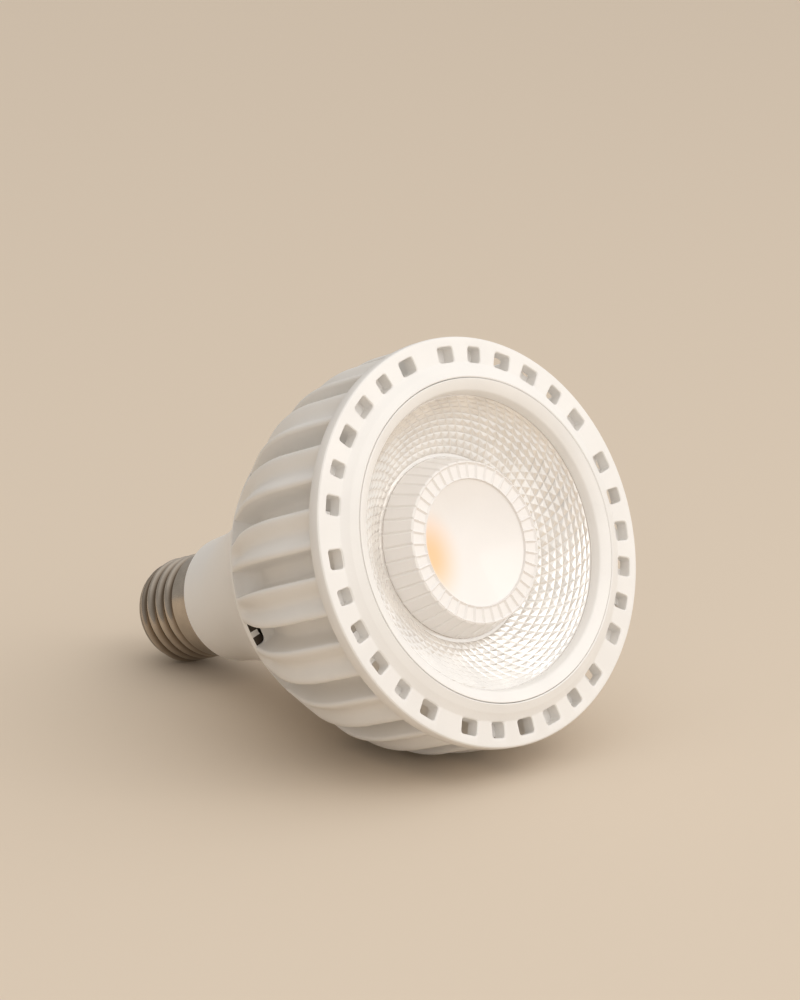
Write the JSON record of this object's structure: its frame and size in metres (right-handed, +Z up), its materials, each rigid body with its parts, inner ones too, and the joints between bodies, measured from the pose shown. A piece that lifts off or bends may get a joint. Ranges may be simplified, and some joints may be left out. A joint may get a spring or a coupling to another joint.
{
  "type": "grow light bulb",
  "caption": "Reflector-shaped LED lamp with a ribbed cast body, vented rim, faceted clear optic, smooth flared neck and medium screw cap, lying on its side.",
  "frame": {"origin": "bottom centre of the bounding box, on the surface the bulb lies on", "axes": "+Z up from that surface; the lamp's axis lies in the YZ plane, its lens towards -Y and about 20 degrees upwards, its screw cap towards +Y"},
  "size_m": [0.095, 0.1354, 0.097],
  "materials": {
    "white_casting": "satin",
    "white_ring": "satin",
    "clear_optic": "polished",
    "white_neck": "satin",
    "nickel": "polished",
    "black_insulator": "gloss",
    "tip_brass": "satin",
    "gasket_rubber": "matte",
    "holder_plastic": "matte",
    "screw_steel": "zinc plated",
    "board_metal": "matte white mask",
    "dam_silicone": "satin",
    "phosphor": "satin",
    "pad_grey": "matte",
    "cover_plastic": "matte",
    "circuit_laminate": "satin",
    "ferrite": "matte",
    "winding_tape": "satin",
    "capacitor_sleeve": "gloss",
    "choke_sleeve": "satin",
    "component_black": "matte",
    "fuse_green": "satin",
    "red_insulation": "satin",
    "black_insulation": "satin",
    "white_insulation": "satin"
  },
  "bodies": {
    "root": {"heat_sink": "white_casting", "lens_ring": "white_ring", "optic": "clear_optic", "lens_gasket": "gasket_rubber", "led_holder": "holder_plastic", "holder_screws": "screw_steel", "led_board": "board_metal", "dam_ring": "dam_silicone", "phosphor_disc": "phosphor", "thermal_pad": "pad_grey", "driver_housing": "white_neck", "housing_cover": "cover_plastic", "neck_screws": "screw_steel", "driver_board": "circuit_laminate", "transformer_core": "ferrite", "transformer_coil": "winding_tape", "output_capacitor": "capacitor_sleeve", "input_capacitor": "capacitor_sleeve", "choke_coil": "choke_sleeve", "rectifier": "component_black", "fuse_resistor": "fuse_green", "red_lead": "red_insulation", "black_lead": "black_insulation", "line_wire": "black_insulation", "neutral_wire": "white_insulation", "screw_shell": "nickel", "shell_insulator": "black_insulator", "centre_contact": "tip_brass"}
  },
  "joints": []
}
